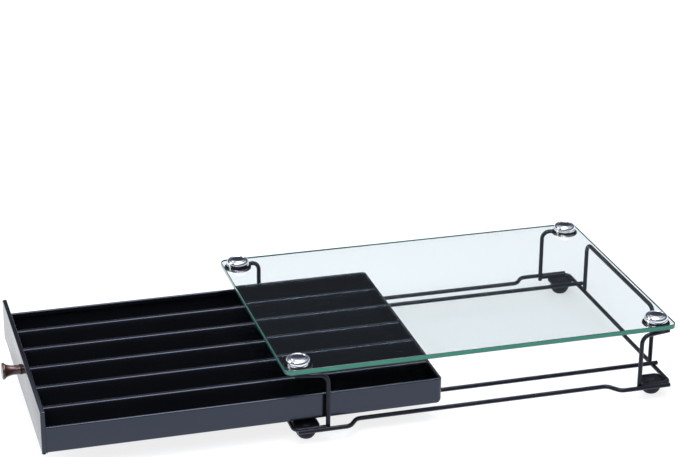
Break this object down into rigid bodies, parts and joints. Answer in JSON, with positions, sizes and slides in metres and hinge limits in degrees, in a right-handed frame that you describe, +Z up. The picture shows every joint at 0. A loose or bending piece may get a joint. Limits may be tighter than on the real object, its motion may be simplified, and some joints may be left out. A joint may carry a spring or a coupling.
{
  "type": "coffee pod drawer",
  "caption": "Black pod drawer with sloped row dividers that slides on a wire frame under a glass shelf with chrome corner caps.",
  "frame": {"origin": "on the floor under the feet, at the middle of the overall length with the drawer open", "axes": "+X from the drawer's front to the back, +Y to the left seen from the front, +Z up"},
  "size_m": [0.649, 0.2842, 0.0849],
  "materials": {
    "glass": "polished clear glass with green edges",
    "coated_wire": "satin black powder coat on steel wire and pressings",
    "coated_sheet": "satin-gloss black coating on folded sheet steel",
    "chrome": "polished chrome",
    "plated_steel": "zinc plated screws",
    "knob_metal": "dark bronze gloss",
    "black_rubber": "matt moulded rubber"
  },
  "bodies": {
    "stand": {"glass_top": "glass", "right_base_wire": "coated_wire", "right_runner_wire": "coated_wire", "left_base_wire": "coated_wire", "left_runner_wire": "coated_wire", "front_cross_wire": "coated_wire", "rear_cross_wire": "coated_wire", "rear_arch": "coated_wire", "front_right_leg": "coated_wire", "front_right_tab": "coated_wire", "front_right_pad": "black_rubber", "front_right_cap": "chrome", "front_right_glass_screw": "plated_steel", "front_right_foot_cup": "coated_wire", "front_right_rubber_foot": "black_rubber", "front_left_leg": "coated_wire", "front_left_tab": "coated_wire", "front_left_pad": "black_rubber", "front_left_cap": "chrome", "front_left_glass_screw": "plated_steel", "front_left_foot_cup": "coated_wire", "front_left_rubber_foot": "black_rubber", "rear_right_leg": "coated_wire", "rear_right_tab": "coated_wire", "rear_right_pad": "black_rubber", "rear_right_cap": "chrome", "rear_right_glass_screw": "plated_steel", "rear_right_foot_cup": "coated_wire", "rear_right_rubber_foot": "black_rubber", "rear_left_leg": "coated_wire", "rear_left_tab": "coated_wire", "rear_left_pad": "black_rubber", "rear_left_cap": "chrome", "rear_left_glass_screw": "plated_steel", "rear_left_foot_cup": "coated_wire", "rear_left_rubber_foot": "black_rubber"},
    "drawer": {"drawer_tray": "coated_sheet", "row_divider_1": "coated_sheet", "row_divider_2": "coated_sheet", "row_divider_3": "coated_sheet", "row_divider_4": "coated_sheet", "row_divider_5": "coated_sheet", "front_panel": "coated_sheet", "right_panel_bumper": "black_rubber", "left_panel_bumper": "black_rubber", "knob": "knob_metal", "knob_screw": "plated_steel"}
  },
  "joints": [
    {"name": "drawer_slide", "type": "slide", "parent": "stand", "child": "drawer", "axis": [1, 0, 0], "range_m": [0, 0.236]}
  ]
}
